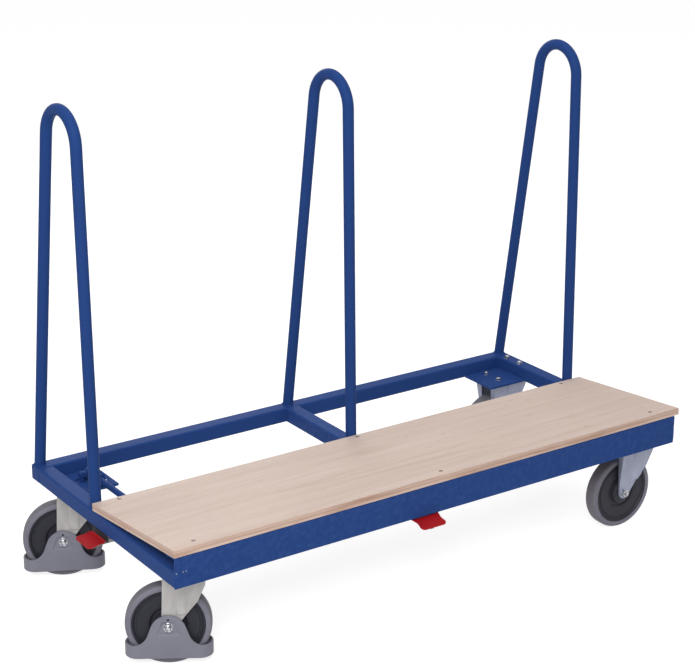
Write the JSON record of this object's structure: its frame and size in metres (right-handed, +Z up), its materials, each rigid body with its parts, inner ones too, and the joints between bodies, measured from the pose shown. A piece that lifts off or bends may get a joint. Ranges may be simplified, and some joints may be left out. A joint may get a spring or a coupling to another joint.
{
  "type": "board trolley",
  "caption": "One-sided board trolley: welded base frame with a sloping plywood deck, upright leaning tube hoops, swivel and fixed castors and a pedal-worked central brake.",
  "frame": {"origin": "on the floor under the middle of the base frame", "axes": "+X along the length towards the fixed castors, +Y from the front rail to the hoops at the rear, +Z up"},
  "size_m": [1.5636, 0.754, 1.2319],
  "materials": {
    "blue_paint": "satin powder coat",
    "plywood": "bare sanded birch plywood",
    "dark_screw": "dark countersunk heads",
    "bright_zinc": "bright zinc plate",
    "zinc_sheet": "zinc-plated pressed sheet",
    "machined_steel": "machined",
    "grey_tyre": "matt grey rubber",
    "core_plastic": "moulded charcoal",
    "guard_plastic": "moulded grey",
    "black_rubber": "matt",
    "pedal_red": "red powder coat"
  },
  "bodies": {
    "frame": {"front_rail": "blue_paint", "rear_rail": "blue_paint", "left_end_rail": "blue_paint", "right_end_rail": "blue_paint", "deck_bearer": "blue_paint", "cross_member_front": "blue_paint", "cross_member_rear": "blue_paint", "mount_plate_fl": "blue_paint", "mount_plate_rl": "blue_paint", "mount_plate_fr": "blue_paint", "mount_plate_rr": "blue_paint", "hoop_left": "blue_paint", "hoop_mid": "blue_paint", "hoop_right": "blue_paint", "deck_panel": "plywood", "deck_screws": "dark_screw", "rear_rail_caps": "blue_paint", "castor_fasteners": "bright_zinc", "shaft_brackets": "blue_paint", "swivel_plate_fl": "zinc_sheet", "swivel_plate_rl": "zinc_sheet", "kingpin_fl": "dark_screw", "kingpin_rl": "dark_screw", "fixed_fork_fr": "zinc_sheet", "fixed_fork_rr": "zinc_sheet", "fixed_axle_fr": "bright_zinc", "fixed_axle_rr": "bright_zinc"},
    "castor_fork_fl": {"swivel_fork_fl": "zinc_sheet", "swivel_axle_fl": "bright_zinc", "foot_guard_fl": "guard_plastic"},
    "castor_fork_rl": {"swivel_fork_rl": "zinc_sheet", "swivel_axle_rl": "bright_zinc", "foot_guard_rl": "guard_plastic"},
    "wheel_fl": {"tyre_fl": "grey_tyre", "wheel_core_fl": "core_plastic", "wheel_bearings_fl": "machined_steel"},
    "wheel_rl": {"tyre_rl": "grey_tyre", "wheel_core_rl": "core_plastic", "wheel_bearings_rl": "machined_steel"},
    "wheel_fr": {"tyre_fr": "grey_tyre", "wheel_core_fr": "core_plastic", "wheel_bearings_fr": "machined_steel"},
    "wheel_rr": {"tyre_rr": "grey_tyre", "wheel_core_rr": "core_plastic", "wheel_bearings_rr": "machined_steel"},
    "plunger_fl": {"brake_plunger_fl": "machined_steel", "brake_shoe_fl": "black_rubber"},
    "plunger_rl": {"brake_plunger_rl": "machined_steel", "brake_shoe_rl": "black_rubber"},
    "brake_lever": {"brake_shaft": "blue_paint", "brake_cams": "blue_paint", "end_pedal_arm": "zinc_sheet", "end_pedal_pad": "pedal_red", "link_fork": "blue_paint"},
    "front_pedal": {"front_pedal_shaft": "blue_paint", "front_pedal_arm": "zinc_sheet", "front_pedal_pad": "pedal_red", "link_finger": "blue_paint"}
  },
  "joints": [
    {"name": "swivel_fl", "type": "hinge", "parent": "frame", "child": "castor_fork_fl", "pos_m": [-0.658, -0.267, 0.225], "axis": [0, 0, 1], "continuous": true},
    {"name": "swivel_rl", "type": "hinge", "parent": "frame", "child": "castor_fork_rl", "pos_m": [-0.658, 0.267, 0.225], "axis": [0, 0, 1], "continuous": true},
    {"name": "roll_fl", "type": "hinge", "parent": "castor_fork_fl", "child": "wheel_fl", "pos_m": [-0.7021, -0.23944, 0.1], "axis": [0.5299, 0.848, 0], "continuous": true},
    {"name": "roll_rl", "type": "hinge", "parent": "castor_fork_rl", "child": "wheel_rl", "pos_m": [-0.70433, 0.29061, 0.1], "axis": [0.454, 0.891, 0], "continuous": true},
    {"name": "roll_fr", "type": "hinge", "parent": "frame", "child": "wheel_fr", "pos_m": [0.65, -0.267, 0.1], "axis": [0, 1, 0], "continuous": true},
    {"name": "roll_rr", "type": "hinge", "parent": "frame", "child": "wheel_rr", "pos_m": [0.65, 0.267, 0.1], "axis": [0, 1, 0], "continuous": true},
    {"name": "brake_press", "type": "hinge", "parent": "frame", "child": "brake_lever", "pos_m": [-0.636, 0, 0.268], "axis": [0, -1, 0], "range_deg": [0, 12]},
    {"name": "front_pedal_press", "type": "hinge", "parent": "frame", "child": "front_pedal", "pos_m": [-0.3, -0.29, 0.268], "axis": [1, 0, 0], "range_deg": [0, 12]},
    {"name": "plunger_press_fl", "type": "slide", "parent": "castor_fork_fl", "child": "plunger_fl", "axis": [0, 0, -1], "range_m": [0, 0.00461]},
    {"name": "plunger_press_rl", "type": "slide", "parent": "castor_fork_rl", "child": "plunger_rl", "axis": [0, 0, -1], "range_m": [0, 0.00461]}
  ],
  "couplings": [
    {"joint": "front_pedal_press", "follows": "brake_press", "ratio": 1},
    {"joint": "plunger_press_fl", "follows": "brake_press", "m_per_rad": 0.022},
    {"joint": "plunger_press_rl", "follows": "brake_press", "m_per_rad": 0.022}
  ]
}
